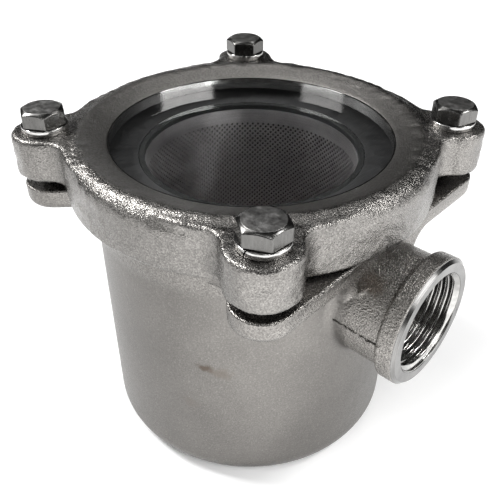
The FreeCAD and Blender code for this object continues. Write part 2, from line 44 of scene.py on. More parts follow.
# ------------------------------------------------------------------ camera
def make_camera():
    cam = bpy.data.cameras.new("camera")
    ob = bpy.data.objects.new("camera", cam)
    scene.collection.objects.link(ob)
    az = math.radians(41.44)
    pitch = math.radians(35.16)
    roll = math.radians(0.889)
    flat = Vector((-math.sin(az), math.cos(az), 0.0))
    fwd = flat * math.cos(pitch) + Vector((0, 0, -math.sin(pitch)))
    right = Vector((math.cos(az), math.sin(az), 0.0))
    up = right.cross(fwd)
    r2 = right * math.cos(roll) + up * math.sin(roll)
    u2 = -right * math.sin(roll) + up * math.cos(roll)
    m = Matrix((r2, u2, -fwd)).transposed().to_4x4()
    m.translation = Vector((132.3, -145.0, 204.9)) * MM
    ob.matrix_world = m
    cam.sensor_width = 36.0
    cam.lens = 658.58 * 36.0 / 504.0
    cam.shift_x = (252.0 - 260.07) / 504.0
    cam.shift_y = (239.90 - 252.0) / 504.0
    cam.clip_start = 0.01
    cam.clip_end = 20.0
    scene.camera = ob
    return ob


camera = make_camera()


# ---------------------------------------------------------------- mesh helpers
def mesh_from(name, verts, faces, mat=None, smooth_deg=35.0):
    """faces: list of tuples, or a list of equal-length integer arrays."""
    me = bpy.data.meshes.new(name)
    verts = np.asarray(verts, dtype=np.float32)
    groups = [np.asarray(f, dtype=np.int32) for f in faces] if isinstance(faces, list) and len(faces) and hasattr(faces[0], "shape") else None
    if groups is None:
        me.from_pydata([tuple(v) for v in verts], [], [tuple(f) for f in faces])
    else:
        me.vertices.add(len(verts))
        me.vertices.foreach_set("co", verts.ravel())
        loops = np.concatenate([g.ravel() for g in groups])
        sizes = np.concatenate([np.full(len(g), g.shape[1], dtype=np.int32) for g in groups])
        starts = np.concatenate([[0], np.cumsum(sizes)[:-1]]).astype(np.int32)
        me.loops.add(len(loops))
        me.loops.foreach_set("vertex_index", loops)
        me.polygons.add(len(sizes))
        me.polygons.foreach_set("loop_start", starts)
        me.polygons.foreach_set("loop_total", sizes)
        me.update(calc_edges=True)
    me.validate()
    me.shade_smooth()
    if smooth_deg:
        me.set_sharp_from_angle(angle=math.radians(smooth_deg))
    ob = bpy.data.objects.new(name, me)
    scene.collection.objects.link(ob)
    if mat is not None:
        me.materials.append(mat)
    return ob


def tidy(ob, dist=1e-6):
    bm = bmesh.new()
    bm.from_mesh(ob.data)
    bmesh.ops.remove_doubles(bm, verts=bm.verts, dist=dist)
    loose = [v for v in bm.verts if not v.link_faces]
    bmesh.ops.delete(bm, geom=loose, context="VERTS")
    bmesh.ops.recalc_face_normals(bm, faces=bm.faces)
    bm.to_mesh(ob.data)
    bm.free()


# ------------------------------------------------------------- basket's screen
RI, RO = 35.1 * MM, 35.9 * MM
NA = 112
ROW = 1.0 * MM
PORT_Z = 71.2 * MM
Z_BAND = 93.3 * MM


def screen_piece(name, row_a, row_b, top_z, bottom_z, mat, first=92.2 * MM, hole=0.47 * MM, sides=8, win=15.6 * MM):
    """Perforated sheet, rows row_a to row_b - 1 of the basket's wall: a lattice
    of round holes, rows staggered by half a pitch, open at the inlet's window.
    top_z and bottom_z give plain margins, or None where the next piece joins."""
    step = 2 * math.pi / NA
    V = []
    quads, tris = [], []
    index = {}
    rm = 0.5 * (RI + RO)
    RAD = (RI, RO)

    def zrow(iz):
        return first - iz * ROW

    def corner(ia, iz, surf):
        key = (ia % (2 * NA), iz, surf)
        if key not in index:
            a = step * 0.5 * ia
            index[key] = len(V)
            V.append((RAD[surf] * math.cos(a), RAD[surf] * math.sin(a), zrow(iz)))
        return index[key]

    pts = [(hole * math.cos(math.pi / 4 + 2 * math.pi * k / sides),
            hole * math.sin(math.pi / 4 + 2 * math.pi * k / sides)) for k in range(sides)]

    def inside_window(ia, iz):
        a = step * 0.5 * ia
        return math.cos(a) > 0 and math.hypot(rm * math.sin(a), zrow(iz) - PORT_Z) < win

    present = set()
    for iz in range(row_a, row_b):
        for i in range(NA):
            ia = 2 * i + (iz % 2)
            if not inside_window(ia, iz):
                present.add((ia % (2 * NA), iz))

    def has(ia, iz):
        return (ia % (2 * NA), iz) in present

    for ia, iz in sorted(present):
        a0 = step * 0.5 * ia
        zc = zrow(iz)
        ring = []
        for surf in (0, 1):
            ring.append(len(V))
            for u, v in pts:
                a = a0 + u / rm
                V.append((RAD[surf] * math.cos(a), RAD[surf] * math.sin(a), zc + v))
        for surf in (0, 1):
            # corners anticlockwise from the top: high, low angle, low, high angle
            cs = [corner(ia, iz - 1, surf), corner(ia - 1, iz, surf), corner(ia, iz + 1, surf), corner(ia + 1, iz, surf)]
            b = ring[surf]
            for q in range(4):
                p0, p1, p2 = b + (2 * q) % 8, b + (2 * q + 1) % 8, b + (2 * q + 2) % 8
                for t in ((p0, cs[q], p1), (p1, cs[q], p2), (p2, cs[q], cs[(q + 1) % 4])):
                    tris.append(t if surf == 0 else t[::-1])
        for k in range(sides):
            k2 = (k + 1) % sides
            quads.append((ring[0] + k2, ring[0] + k, ring[1] + k, ring[1] + k2))
        # walls where the neighbour is missing: the window's edge and the joint
        for (da, dz, ca, cb) in ((-1, -1, (0, -1), (-1, 0)), (-1, 1, (-1, 0), (0, 1)), (1, 1, (0, 1), (1, 0)), (1, -1, (1, 0), (0, -1))):
            na, nz = ia + da, iz + dz
            if has(na, nz):
                continue
            if (nz < row_a and top_z is not None) or (nz >= row_b and bottom_z is not None):
                continue
            p, q_ = corner(ia + ca[0], iz + ca[1], 0), corner(ia + cb[0], iz + cb[1], 0)
            p1, q1 = corner(ia + ca[0], iz + ca[1], 1), corner(ia + cb[0], iz + cb[1], 1)
            quads.append((p, q_, q1, p1))
    for top, zb in ((True, top_z), (False, bottom_z)):
        if zb is None:
            continue
        iz = row_a if top else row_b - 1
        edge = iz - 1 if top else iz + 1
        par = iz % 2
        band = {}
        for surf in (0, 1):
            for i in range(NA):
                ia = (2 * i + par) % (2 * NA)
                a = step * 0.5 * ia
                band[(ia, surf)] = len(V)
                V.append((RAD[surf] * math.cos(a), RAD[surf] * math.sin(a), zb))
        for i in range(NA):
            ia, ib = (2 * i + par) % (2 * NA), (2 * i + 2 + par) % (2 * NA)
            for surf in (0, 1):
                apex, apex2, valley = corner(ia, edge, surf), corner(ib, edge, surf), corner(ia + 1, iz, surf)
                t = (apex, apex2, valley) if top else (apex, valley, apex2)
                q = (band[(ia, surf)], band[(ib, surf)], apex2, apex) if top else (band[(ib, surf)], band[(ia, surf)], apex, apex2)
                tris.append(t if surf == 0 else t[::-1])
                quads.append(q if surf == 0 else q[::-1])
            q = (band[(ia, 0)], band[(ib, 0)], band[(ib, 1)], band[(ia, 1)])
            quads.append(q if not top else q[::-1])
    ob = mesh_from(name, V, [np.array(tris, dtype=np.int32), np.array(quads, dtype=np.int32)], mat, 40.0)
    bm = bmesh.new()
    bm.from_mesh(ob.data)
    loose = [v for v in bm.verts if not v.link_faces]
    bmesh.ops.delete(bm, geom=loose, context="VERTS")
    bmesh.ops.recalc_face_normals(bm, faces=bm.faces)
    bad = sum(1 for e in bm.edges if len(e.link_faces) != 2)
    vol = bm.calc_volume(signed=True)
    if vol < 0:
        bmesh.ops.reverse_faces(bm, faces=bm.faces)
    bm.to_mesh(ob.data)
    bm.free()
    ob.data.shade_smooth()
    ob.data.set_sharp_from_angle(angle=math.radians(40.0))
    print(name, "triangles", len(tris) + 2 * len(quads), "edges not shared by two", bad, "volume", vol)
    return ob


def window_collar(name, mat):
    """Pressed-on ring that trims the window's edge, inside and outside the sheet."""
    n = 72
    V, F = [], []
    prof = [(14.3, -0.30), (14.3, 0.30), (17.3, 0.30), (17.6, 0.12), (17.6, -0.12), (17.3, -0.30)]
    for k in range(n):
        t = 2 * math.pi * k / n
        for rr, off in prof:
            y = rr * math.cos(t)
            z = rr * math.sin(t)
            r = (35.5 if off < 0 else 35.5) + (0.40 + 0.25) * (1 if off > 0 else -1) * (1 if abs(off) > 0.2 else 0.62)
            V.append((math.sqrt(max(r * r - y * y, 0.0)) * MM, y * MM, PORT_Z + z * MM))
    m_ = len(prof)
    for k in range(n):
        for j in range(m_):
            a, b = k * m_ + j, k * m_ + (j + 1) % m_
            c, d_ = ((k + 1) % n) * m_ + (j + 1) % m_, ((k + 1) % n) * m_ + j
            F.append((a, b, c, d_))
    ob = mesh_from(name, V, F, mat, 40.0)
    tidy(ob)
    ob.data.shade_smooth()
    ob.data.set_sharp_from_angle(angle=math.radians(40.0))
    return ob


# ------------------------------------------------------------------- threads
def thread_sleeve(name, x0, x1, pitch, wall, crest, mat, sign=1.0, origin=(0, 0, 0), axis="X", cone=None,
                  segs=96, per=10, inner=True, back=None, fade=0.8):
    """Helical ridges on a wall. x0 is the mouth, x1 the far end, both along the
    axis; wall is the root radius and crest the ridge radius."""
    length = abs(x1 - x0)
    turns = length / pitch
    n = int(math.ceil(turns * per))
    s = 1.0 if x1 > x0 else -1.0
    V, quads = [], []
    shape = []
    for j in range(n + 1):
        shape.append(j / per * pitch)
    for j in range(n + 1):
        for k in range(segs):
            t = k / segs
            xx = min(max(shape[j], 0.0), length)
            ph = ((xx / pitch) + t * sign) % 1.0
            # rounded V form
            tri = 1.0 - abs(ph - 0.5) * 2.0
            tri = min(1.0, max(0.0, (tri - 0.14) / 0.72))
            tri = tri * tri * (3 - 2 * tri) * 0.35 + tri * 0.65
            f = min(1.0, (length - xx) / (fade * pitch)) if fade else 1.0
            f = max(0.0, f)
            r = wall + (crest - wall) * tri * f
            if cone is not None:
                lim = cone[0] - xx * cone[1]
                if inner and r < lim:
                    r = min(lim, wall)
                if not inner and r > lim:
                    r = lim
            a = 2 * math.pi * t
            V.append((x0 + s * xx, r * math.cos(a), r * math.sin(a)))
    rows = n + 1
    bk = back if back is not None else wall
    base = len(V)
    for x in (x0, x1):
        for k in range(segs):
            a = 2 * math.pi * k / segs
            V.append((x, bk * math.cos(a), bk * math.sin(a)))
    for j in range(n):
        for k in range(segs):
            k2 = (k + 1) % segs
            quads.append((j * segs + k, j * segs + k2, (j + 1) * segs + k2, (j + 1) * segs + k))
    for k in range(segs):
        k2 = (k + 1) % segs
        quads.append((k2, k, base + k, base + k2))
        quads.append((n * segs + k, n * segs + k2, base + segs + k2, base + segs + k))
        quads.append((base + k2, base + k, base + segs + k, base + segs + k2))
    V = np.array(V)
    if axis == "Z":
        V = V[:, [1, 2, 0]]
    V = V + np.array(origin)
    ob = mesh_from(name, V, [np.array(quads, dtype=np.int32)], mat, 60.0)
    bm = bmesh.new()
    bm.from_mesh(ob.data)
    bmesh.ops.recalc_face_normals(bm, faces=bm.faces)
    bm.to_mesh(ob.data)
    bm.free()
    ob.data.shade_smooth()
    ob.data.set_sharp_from_angle(angle=math.radians(60.0))
    return ob


# --------------------------------------------------------------- material kit
class Mat(object):
    """A small helper that builds a node material."""

    def __init__(self, name):
        self.m = bpy.data.materials.new(name)
        self.m.use_nodes = True
        self.nt = self.m.node_tree
        self.nt.nodes.clear()
        self.out = self.nt.nodes.new("ShaderNodeOutputMaterial")
        self.b = self.nt.nodes.new("ShaderNodeBsdfPrincipled")
        self.nt.links.new(self.b.outputs[0], self.out.inputs[0])
        self.tc = self.nt.nodes.new("ShaderNodeTexCoord")
        self.pos = self.tc.outputs["Object"]

    def node(self, kind, **kw):
        n = self.nt.nodes.new(kind)
        for k, v in kw.items():
            setattr(n, k, v)
        return n

    def link(self, a, b):
        self.nt.links.new(a, b)

    def set(self, **kw):
        for k, v in kw.items():
            self.b.inputs[k.replace("_", " ")].default_value = v

    def mapping(self, scale=(1, 1, 1), rot=(0, 0, 0), loc=(0, 0, 0), src=None):
        n = self.node("ShaderNodeMapping")
        n.inputs["Scale"].default_value = scale
        n.inputs["Rotation"].default_value = rot
        n.inputs["Location"].default_value = loc
        self.link(src or self.pos, n.inputs["Vector"])
        return n.outputs[0]

    def noise(self, scale, detail=2.0, rough=0.5, src=None, dist=0.0):
        n = self.node("ShaderNodeTexNoise")
        n.inputs["Scale"].default_value = scale
        n.inputs["Detail"].default_value = detail
        n.inputs["Roughness"].default_value = rough
        n.inputs["Distortion"].default_value = dist
        self.link(src or self.pos, n.inputs["Vector"])
        return n.outputs["Fac"]

    def voronoi(self, scale, feature="F1", out="Distance", src=None, rand=1.0):
        n = self.node("ShaderNodeTexVoronoi")
        n.feature = feature
        n.inputs["Scale"].default_value = scale
        n.inputs["Randomness"].default_value = rand
        self.link(src or self.pos, n.inputs["Vector"])
        return n.outputs[out]

    def ramp(self, fac, stops, interp="LINEAR"):
        n = self.node("ShaderNodeValToRGB")
        cr = n.color_ramp
        cr.interpolation = interp
        while len(cr.elements) < len(stops):
            cr.elements.new(0.5)
        for e, (p, c) in zip(cr.elements, stops):
            e.position = p
            e.color = (c, c, c, 1) if isinstance(c, (int, float)) else tuple(c) + (1,)
        self.link(fac, n.inputs["Fac"])
        return n.outputs["Color"]

    def math(self, op, a, b=None, c=None, clamp=False):
        n = self.node("ShaderNodeMath", operation=op)
        n.use_clamp = clamp
        for i, v in enumerate((a, b, c)):
            if v is None:
                continue
            if isinstance(v, (int, float)):
                n.inputs[i].default_value = v
            else:
                self.link(v, n.inputs[i])
        return n.outputs[0]

    def mix(self, fac, a, b, blend="MIX"):
        n = self.node("ShaderNodeMix", data_type="RGBA", blend_type=blend)
        if isinstance(fac, (int, float)):
            n.inputs[0].default_value = fac
        else:
            self.link(fac, n.inputs[0])
        for idx, v in ((6, a), (7, b)):
            if isinstance(v, tuple):
                n.inputs[idx].default_value = v + (1,) if len(v) == 3 else v
            else:
                self.link(v, n.inputs[idx])
        return n.outputs[2]

    def bump(self, height, strength=0.3, distance=0.0002, normal=None):
        n = self.node("ShaderNodeBump")
        n.inputs["Strength"].default_value = strength
        n.inputs["Distance"].default_value = distance
        self.link(height, n.inputs["Height"])
        if normal is not None:
            self.link(normal, n.inputs["Normal"])
        return n.outputs[0]


def cast_height(m, coarse):
    """Grain of a shell-moulded casting: rounded pebbles with finer grit."""
    peb = m.voronoi(2300.0 * coarse, "SMOOTH_F1")
    mid = m.noise(2000.0 * coarse, 2.0, 0.6)
    fine = m.noise(2900.0 * coarse, 1.0, 0.5)
    wave = m.noise(210.0, 2.0, 0.5)
    return peb, mid, fine, wave


def cast_ring_material(name, base):
    """Blasted casting: open grain on the outside, closer grain on the top face."""
    m = Mat(name)
    sep = m.node("ShaderNodeSeparateXYZ")
    m.link(m.pos, sep.inputs[0])
    x, y, z = sep.outputs
    r = m.math("SQRT", m.math("ADD", m.math("MULTIPLY", x, x), m.math("MULTIPLY", y, y)))
    top = m.math("MULTIPLY", step_up(m, z, 0.1095, 0.1104), step_down(m, r, 0.0530, 0.0560))
    out = m.math("SUBTRACT", 1.0, top)
    peb, mid, fine, wave = cast_height(m, 1.0)
    amp = m.math("MULTIPLY_ADD", out, 0.35, 0.65)
    h = m.math("ADD", m.math("MULTIPLY", m.math("ADD", m.math("MULTIPLY", peb, 0.5), m.math("MULTIPLY", mid, 1.1)), amp),
               m.math("MULTIPLY", fine, 0.30))
    h = m.math("ADD", h, m.math("MULTIPLY", m.math("MULTIPLY", wave, 0.9), m.math("MULTIPLY_ADD", out, 0.8, 0.2)))
    m.link(m.bump(h, 1.0, 0.000165), m.b.inputs["Normal"])
    tone = m.ramp(mid, [(0.30, tuple(c * 0.66 for c in base)), (0.5, base), (0.74, tuple(c * 1.55 for c in base))])
    broad = m.ramp(m.noise(55.0, 3.0, 0.55), [(0.3, 0.88), (0.7, 1.08)])
    col = m.mix(1.0, tone, broad, "MULTIPLY")
    flat = m.ramp(m.noise(1500.0, 2.0, 0.6), [(0.3, tuple(c * 0.90 for c in base)), (0.7, tuple(c * 1.55 for c in base))])
    col = m.mix(top, col, flat)
    m.link(col, m.b.inputs["Base Color"])
    m.set(Metallic=1.0)
    rr = m.ramp(fine, [(0.3, 0.20), (0.7, 0.30)])
    rr = m.math("MULTIPLY_ADD", top, 0.10, rr)
    m.link(rr, m.b.inputs["Roughness"])
    return m.m


def step_up(m, v, a, b):
    n = m.node("ShaderNodeMapRange")
    n.interpolation_type = "SMOOTHSTEP"
    n.inputs["From Min"].default_value = a
    n.inputs["From Max"].default_value = b
    m.link(v, n.inputs["Value"])
    return n.outputs[0]


def step_down(m, v, a, b):
    return m.math("SUBTRACT", 1.0, step_up(m, v, a, b))


def cast_body_material(name, base):
    """Cup with a close satin grain, flange and ports with the open grain of the
    mould, and machined deck, port faces and port bores."""
    m = Mat(name)
    sep = m.node("ShaderNodeSeparateXYZ")
    m.link(m.pos, sep.inputs[0])
    x, y, z = sep.outputs
    ax = m.math("ABSOLUTE", x)
    r = m.math("SQRT", m.math("ADD", m.math("MULTIPLY", x, x), m.math("MULTIPLY", y, y)))
    zz = m.math("SUBTRACT", z, 0.0712)
    q = m.math("SQRT", m.math("ADD", m.math("MULTIPLY", y, y), m.math("MULTIPLY", zz, zz)))
    cup = m.math("MULTIPLY", step_down(m, z, 0.0800, 0.0850), step_down(m, ax, 0.0500, 0.0560))
    deck = m.math("MULTIPLY", step_up(m, z, 0.0999, 0.09995), 1.0)
    face = step_up(m, ax, 0.0724, 0.0726)
    bore = m.math("MULTIPLY", step_up(m, ax, 0.0500, 0.0502), step_down(m, q, 0.0174, 0.0176))
    cut = m.math("MAXIMUM", m.math("MAXIMUM", face, bore), deck)
    rough_skin = m.math("SUBTRACT", 1.0, cup)
    peb, mid, fine, wave = cast_height(m, 1.0)
    port = m.math("MULTIPLY", step_up(m, ax, 0.0530, 0.0560), step_down(m, z, 0.0900, 0.0925))
    amp = m.math("MULTIPLY_ADD", port, 0.95, m.math("MULTIPLY_ADD", rough_skin, 0.58, 0.42))
    h = m.math("ADD", m.math("MULTIPLY", m.math("ADD", m.math("MULTIPLY", peb, 0.5), m.math("MULTIPLY", mid, 1.1)), amp),
               m.math("MULTIPLY", fine, 0.22))
    h = m.math("ADD", h, m.math("MULTIPLY", m.math("MULTIPLY", wave, 1.2), m.math("MULTIPLY_ADD", rough_skin, 0.8, 0.2)))
    skin = m.math("SUBTRACT", 1.0, cut)
    h = m.math("MULTIPLY", h, skin)
    lines = m.noise(1.0, 1.0, 0.5, src=m.mapping((9000.0, 160.0, 160.0)))
    h = m.math("ADD", h, m.math("MULTIPLY", m.math("MULTIPLY", lines, 0.02), cut))
    m.link(m.bump(h, 1.0, 0.00018), m.b.inputs["Normal"])
    tone = m.ramp(mid, [(0.30, tuple(c * 0.66 for c in base)), (0.5, base), (0.74, tuple(c * 1.5 for c in base))])
    soft = m.ramp(mid, [(0.30, tuple(c * 0.74 for c in base)), (0.6, tuple(c * 0.96 for c in base)), (0.74, tuple(c * 1.35 for c in base))])
    # painted light: the ports' grain is coloured 1.38 times lighter than the rest of the casting, lighting the port
    # necks and collars in colour
    col = m.mix(port, m.mix(cup, tone, soft), m.mix(1.0, tone, (1.38, 1.38, 1.38), "MULTIPLY"))
    broad = m.ramp(m.noise(45.0, 4.0, 0.6), [(0.3, 0.90), (0.7, 1.07)])
    col = m.mix(1.0, col, broad, "MULTIPLY")
    # brown stains: one spot on the cup, a patch by the neck
    for cx, cy, cz, rad, tint, f in ((0.0236, -0.0470, 0.0530, 0.0030, (0.080, 0.062, 0.048), 0.85),
                                     (0.0280, -0.0443, 0.0516, 0.0042, (0.135, 0.116, 0.098), 0.55),
                                     (0.0180, -0.0496, 0.0350, 0.0040, (0.150, 0.136, 0.122), 0.5),
                                     (0.0590, -0.0122, 0.0857, 0.0050, (0.120, 0.092, 0.070), 0.6)):
        mp = m.mapping((1, 1, 1.6), (0, 0, 0), (-cx, -cy, -cz * 1.6))
        ln = m.node("ShaderNodeVectorMath", operation="LENGTH")
        m.link(mp, ln.inputs[0])
        d = m.math("MULTIPLY_ADD", m.noise(420.0, 3.0, 0.6), 0.007, ln.outputs["Value"])
        near = m.math("MULTIPLY", step_down(m, d, rad * 0.7 + 0.0018, rad + 0.0042), f)
        col = m.mix(near, col, tint)
    turned = m.ramp(lines, [(0.3, (0.13, 0.128, 0.125)), (0.7, (0.21, 0.207, 0.202))])
    col = m.mix(cut, col, turned)
    # painted shade: a near-black dot about 1 mm across on the inlet's port face, the shade inside a casting pit drawn
    # as colour, not cut
    mp = m.mapping((1, 1, 1), (0, 0, 0), (-0.0735, -0.01793, -0.06512))
    ln = m.node("ShaderNodeVectorMath", operation="LENGTH")
    m.link(mp, ln.inputs[0])
    col = m.mix(step_down(m, ln.outputs["Value"], 0.00035, 0.00060), col, (0.012, 0.011, 0.010))
    # painted shade: the body's surfaces within 48.8 mm of the axis and below the deck, the inside of the chamber, are
    # coloured at 0.22 of the base
    painted_shade_inside = m.math("MULTIPLY", step_down(m, r, 0.0488, 0.0494), step_down(m, z, 0.0955, 0.0975))
    col = m.mix(m.math("MULTIPLY", painted_shade_inside, m.math("SUBTRACT", 1.0, cut)), col, tuple(c * 0.22 for c in base))
    col = m.mix(deck, col, m.ramp(lines, [(0.3, (0.074, 0.074, 0.076)), (0.7, (0.124, 0.123, 0.123))]))
    m.link(col, m.b.inputs["Base Color"])
    m.set(Metallic=1.0)
    rr = m.ramp(fine, [(0.3, 0.22), (0.7, 0.32)])
    rr = m.math("MULTIPLY_ADD", cup, 0.10, rr)
    rr = m.mix(cut, rr, (0.22, 0.22, 0.22))
    rr = m.mix(deck, rr, (0.46, 0.46, 0.46))
    m.link(rr, m.b.inputs["Roughness"])
    return m.m


def turned_material(name, lo, hi, rough, scale=(160.0, 160.0, 9000.0), depth=0.00001):
    """Metal with fine tool lines."""
    m = Mat(name)
    lines = m.noise(1.0, 2.0, 0.5, src=m.mapping(scale))
    patch = m.noise(260.0, 3.0, 0.6)
    m.link(m.ramp(m.math("ADD", m.math("MULTIPLY", lines, 0.6), m.math("MULTIPLY", patch, 0.4)), [(0.35, lo), (0.65, hi)]), m.b.inputs["Base Color"])
    m.link(m.ramp(patch, [(0.3, rough * 0.8), (0.7, rough * 1.25)]), m.b.inputs["Roughness"])
    m.link(m.bump(lines, 1.0, depth), m.b.inputs["Normal"])
    m.set(Metallic=1.0)
    return m.m


def give(node, mat):
    ob = NODES[node]
    for s in ob.material_slots:
        s.material = mat
    if not ob.material_slots:
        ob.data.materials.append(mat)


steel = cast_body_material("cast_steel", (0.181, 0.173, 0.163))
ringm = cast_ring_material("cast_ring", (0.180, 0.173, 0.164))
give("body", steel)
give("cover_ring", ringm)

m = Mat("clear_glass")
m.set(Base_Color=(0.93, 0.955, 0.948, 1), IOR=1.52, Transmission_Weight=1.0)
m.link(m.ramp(m.noise(60.0, 3.0, 0.6), [(0.45, 0.0), (0.8, 0.03)]), m.b.inputs["Roughness"])
glass_mat = m.m
give("sight_glass", glass_mat)
NODES["sight_glass"].visible_shadow = False


def rubber(name, base, rough):
    m = Mat(name)
    m.link(m.ramp(m.noise(700.0, 3.0, 0.6), [(0.3, base * 0.7), (0.7, base * 1.4)]), m.b.inputs["Base Color"])
    m.link(m.ramp(m.noise(1200.0, 2.0, 0.5), [(0.3, rough - 0.08), (0.7, rough + 0.08)]), m.b.inputs["Roughness"])
    m.link(m.bump(m.noise(1600.0, 2.0, 0.5), 0.4, 0.0001), m.b.inputs["Normal"])
    return m.m


give("glass_gasket", rubber("dark_gasket", 0.02, 0.6))
seal_mat = rubber("black_rubber", 0.005, 0.6)
seal_mat.node_tree.nodes["Principled BSDF"].inputs["Specular IOR Level"].default_value = 0.15
give("basket_seal", seal_mat)
basket_mat = turned_material("basket_steel", (0.40, 0.382, 0.386), (0.54, 0.516, 0.52), 0.36, (60.0, 60.0, 5000.0))
for k in ("basket_rim", "basket_screen", "basket_floor"):
    give(k, basket_mat)
def bolt_material(name):
    """Bright bolts with a duller, brushed and handled end face; the sides carry painted shade, a dark tone standing in
    for dark surroundings reflected in them.
    """
    m = Mat(name)
    sep = m.node("ShaderNodeSeparateXYZ")
    m.link(m.pos, sep.inputs[0])
    end = step_up(m, sep.outputs[2], 0.11922, 0.11928)
    patch = m.noise(420.0, 4.0, 0.65)
    lines = m.noise(1.0, 2.0, 0.5, src=m.mapping((1500.0, 1500.0, 420.0)))
    # painted shade: the sides are coloured dark in place of the dark surroundings they would reflect
    side = m.ramp(lines, [(0.3, (0.092, 0.090, 0.087)), (0.7, (0.120, 0.118, 0.114))])
    face = m.ramp(patch, [(0.32, (0.11, 0.108, 0.105)), (0.52, (0.22, 0.217, 0.211)), (0.7, (0.34, 0.335, 0.328))])
    m.link(m.mix(end, side, face), m.b.inputs["Base Color"])
    m.link(m.mix(end, m.ramp(patch, [(0.3, 0.20), (0.7, 0.30)]), m.ramp(patch, [(0.3, 0.34), (0.7, 0.48)])), m.b.inputs["Roughness"])
    h = m.math("ADD", m.math("MULTIPLY", lines, 0.05), m.math("MULTIPLY", m.noise(1300.0, 2.0, 0.6), m.math("MULTIPLY_ADD", end, 1.0, 0.12)))
    m.link(m.bump(h, 1.0, 0.00007), m.b.inputs["Normal"])
    m.set(Metallic=1.0)
    return m.m


bolt_mat = bolt_material("bolt_steel")
washer_mat = turned_material("washer_steel", (0.32, 0.316, 0.308), (0.54, 0.53, 0.52), 0.17, (700.0, 700.0, 3000.0), 0.00002)
bore_mat = turned_material("turned_steel", (0.38, 0.376, 0.369), (0.47, 0.465, 0.457), 0.12, (60.0, 60.0, 6000.0), 0.000004)
thread_mat = turned_material("thread_steel", (0.28, 0.276, 0.268), (0.42, 0.413, 0.40), 0.20, (60.0, 500.0, 500.0), 0.00001)
for k in range(1, 5):
    give("hex_bolt_%d" % k, bolt_mat)
    give("spring_washer_%d" % k, washer_mat)


# --------------------------------------------------------------------- pieces
def add(ob, slot_name, *nodes):
    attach(ob, "root")
    if nodes:
        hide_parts(*nodes)
    return ob


def count(ob):
    ob.data.calc_loop_triangles()
    return len(ob.data.loop_triangles)


def softened(node, name, voxel, rounds, mat, waves):
    """The cast part's own shape with its ridges melted and its faces slightly
    uneven, as a casting comes from the mould."""
    src = NODES[node]
    me = src.data.copy()
    me.transform(src.matrix_world)
    tmp = bpy.data.objects.new(name + "_tmp", me)
    scene.collection.objects.link(tmp)
    md = tmp.modifiers.new("r", "REMESH")
    md.mode = "VOXEL"
    md.voxel_size = voxel
    md.adaptivity = 0.0
    ms = tmp.modifiers.new("s", "SMOOTH")
    ms.factor = 0.5
    ms.iterations = rounds
    dg = bpy.context.evaluated_depsgraph_get()
    out = bpy.data.meshes.new_from_object(tmp.evaluated_get(dg))
    bpy.data.objects.remove(tmp)
    out.name = name
    out.materials.clear()
    out.materials.append(mat)
    n = len(out.vertices)
    co = np.empty(n * 3, dtype=np.float32)
    no = np.empty(n * 3, dtype=np.float32)
    out.vertices.foreach_get("co", co)
    out.vertex_normals.foreach_get("vector", no)
    co = co.reshape(-1, 3)
    no = no.reshape(-1, 3)
    d = np.zeros(n, dtype=np.float32)
    rng = np.random.RandomState(7)
    for size, amp in waves:
        acc = np.zeros(n, dtype=np.float32)
        for k in range(14):
            v = rng.normal(size=3)
            v /= np.linalg.norm(v)
            ph = rng.uniform(0, 2 * math.pi)
            acc += np.sin(co @ (v * 2 * math.pi / (size * rng.uniform(0.75, 1.4))) + ph).astype(np.float32)
        d += acc / math.sqrt(7.0) * amp
    rr = np.hypot(co[:, 0], co[:, 1])
    keep = np.clip((rr - 0.0500) / 0.004, 0.0, 1.0)
    low = np.clip((co[:, 2] - 0.0955) / 0.001, 0.0, 1.0)
    co = co + no * (d * keep * low)[:, None]
    out.vertices.foreach_set("co", co.astype(np.float32).ravel())
    out.update()
    out.shade_smooth()
    ob = bpy.data.objects.new(name, out)
    scene.collection.objects.link(ob)
    print(name, "triangles", count(ob))
    return ob


def revolved(name, prof, mat, segs=256, sharp=30.0, closed=True):
    """Solid of revolution about Z from a closed profile of (radius, height) mm."""
    V, Q = [], []
    n = len(prof)
    for k in range(segs):
        a = 2 * math.pi * k / segs
        for rr_, z_ in prof:
            V.append((rr_ * MM * math.cos(a), rr_ * MM * math.sin(a), z_ * MM))
    for k in range(segs):
        k2 = (k + 1) % segs
        for j in range(n if closed else n - 1):
            j2 = (j + 1) % n
            Q.append((k * n + j, k2 * n + j, k2 * n + j2, k * n + j2))
    ob = mesh_from(name, V, [np.array(Q, dtype=np.int32)], mat, sharp)
    bm = bmesh.new()
    bm.from_mesh(ob.data)
    bmesh.ops.recalc_face_normals(bm, faces=bm.faces)
    bm.to_mesh(ob.data)
    bm.free()
    ob.data.shade_smooth()
    ob.data.set_sharp_from_angle(angle=math.radians(sharp))
    return ob


